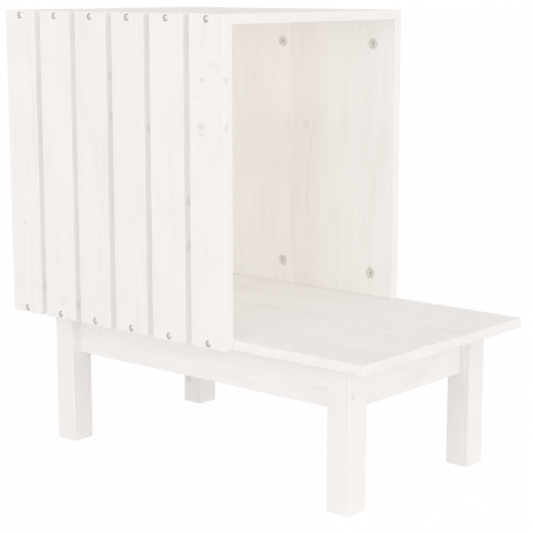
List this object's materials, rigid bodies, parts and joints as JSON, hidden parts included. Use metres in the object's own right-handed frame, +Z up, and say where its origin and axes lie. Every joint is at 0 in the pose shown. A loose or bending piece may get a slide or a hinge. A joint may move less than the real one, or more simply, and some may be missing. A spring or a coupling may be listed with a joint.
{
  "type": "cat house",
  "caption": "Slatted cat house of white painted pine: a hood open at the front with one slatted and two solid sides, on a longer legged platform that makes a porch.",
  "frame": {"origin": "on the floor, under the middle of the whole object", "axes": "+X towards the open front and the porch, +Y towards the solid right wall, +Z up"},
  "size_m": [0.6, 0.36, 0.6],
  "materials": {
    "white_pine": "thin white paint over pine, matt, grain and knots showing through",
    "bare_pine": "sanded, unpainted",
    "beech": "turned, unpainted",
    "zinc_plated_steel": "bright zinc plating",
    "cam_zinc": "dull cast zinc alloy"
  },
  "bodies": {
    "house": {"apron_dowels": "beech", "back_apron": "white_pine", "back_left_corner_block": "bare_pine", "back_left_leg": "white_pine", "back_right_corner_block": "bare_pine", "back_right_leg": "white_pine", "back_wall": "white_pine", "back_wall_cam_bolts": "zinc_plated_steel", "block_screws": "zinc_plated_steel", "front_apron": "white_pine", "front_left_corner_block": "bare_pine", "front_left_leg": "white_pine", "front_right_corner_block": "bare_pine", "front_right_leg": "white_pine", "hanger_bolts": "zinc_plated_steel", "left_apron": "white_pine", "leg_nuts": "zinc_plated_steel", "leg_washers": "zinc_plated_steel", "platform": "white_pine", "platform_screws": "zinc_plated_steel", "right_apron": "white_pine", "right_wall": "white_pine", "right_wall_cam_bolts": "zinc_plated_steel", "roof": "white_pine", "slat_1": "white_pine", "slat_2": "white_pine", "slat_3": "white_pine", "slat_4": "white_pine", "slat_5": "white_pine", "slat_6": "white_pine", "slat_screws": "zinc_plated_steel", "wall_dowels": "beech"},
    "right_wall_cam_bottom_back": {"right_wall_cam_bottom_back": "cam_zinc"},
    "right_wall_cam_bottom_middle": {"right_wall_cam_bottom_middle": "cam_zinc"},
    "right_wall_cam_bottom_front": {"right_wall_cam_bottom_front": "cam_zinc"},
    "back_wall_cam_bottom_left": {"back_wall_cam_bottom_left": "cam_zinc"},
    "back_wall_cam_bottom_right": {"back_wall_cam_bottom_right": "cam_zinc"},
    "right_wall_cam_top_back": {"right_wall_cam_top_back": "cam_zinc"},
    "right_wall_cam_top_middle": {"right_wall_cam_top_middle": "cam_zinc"},
    "right_wall_cam_top_front": {"right_wall_cam_top_front": "cam_zinc"},
    "back_wall_cam_top_left": {"back_wall_cam_top_left": "cam_zinc"},
    "back_wall_cam_top_right": {"back_wall_cam_top_right": "cam_zinc"}
  },
  "joints": [
    {"name": "right_wall_cam_bottom_back_turn", "type": "hinge", "parent": "house", "child": "right_wall_cam_bottom_back", "pos_m": [-0.262, 0.167, 0.233], "axis": [0, -1, 0], "range_deg": [0, 180]},
    {"name": "right_wall_cam_bottom_middle_turn", "type": "hinge", "parent": "house", "child": "right_wall_cam_bottom_middle", "pos_m": [-0.101, 0.167, 0.233], "axis": [0, -1, 0], "range_deg": [0, 180]},
    {"name": "right_wall_cam_bottom_front_turn", "type": "hinge", "parent": "house", "child": "right_wall_cam_bottom_front", "pos_m": [0.06, 0.167, 0.233], "axis": [0, -1, 0], "range_deg": [0, 180]},
    {"name": "back_wall_cam_bottom_left_turn", "type": "hinge", "parent": "house", "child": "back_wall_cam_bottom_left", "pos_m": [-0.287, -0.099, 0.233], "axis": [1, 0, 0], "range_deg": [0, 180]},
    {"name": "back_wall_cam_bottom_right_turn", "type": "hinge", "parent": "house", "child": "back_wall_cam_bottom_right", "pos_m": [-0.287, 0.101, 0.233], "axis": [1, 0, 0], "range_deg": [0, 180]},
    {"name": "right_wall_cam_top_back_turn", "type": "hinge", "parent": "house", "child": "right_wall_cam_top_back", "pos_m": [-0.262, 0.167, 0.554], "axis": [0, -1, 0], "range_deg": [0, 180]},
    {"name": "right_wall_cam_top_middle_turn", "type": "hinge", "parent": "house", "child": "right_wall_cam_top_middle", "pos_m": [-0.101, 0.167, 0.554], "axis": [0, -1, 0], "range_deg": [0, 180]},
    {"name": "right_wall_cam_top_front_turn", "type": "hinge", "parent": "house", "child": "right_wall_cam_top_front", "pos_m": [0.06, 0.167, 0.554], "axis": [0, -1, 0], "range_deg": [0, 180]},
    {"name": "back_wall_cam_top_left_turn", "type": "hinge", "parent": "house", "child": "back_wall_cam_top_left", "pos_m": [-0.287, -0.099, 0.554], "axis": [1, 0, 0], "range_deg": [0, 180]},
    {"name": "back_wall_cam_top_right_turn", "type": "hinge", "parent": "house", "child": "back_wall_cam_top_right", "pos_m": [-0.287, 0.101, 0.554], "axis": [1, 0, 0], "range_deg": [0, 180]}
  ]
}
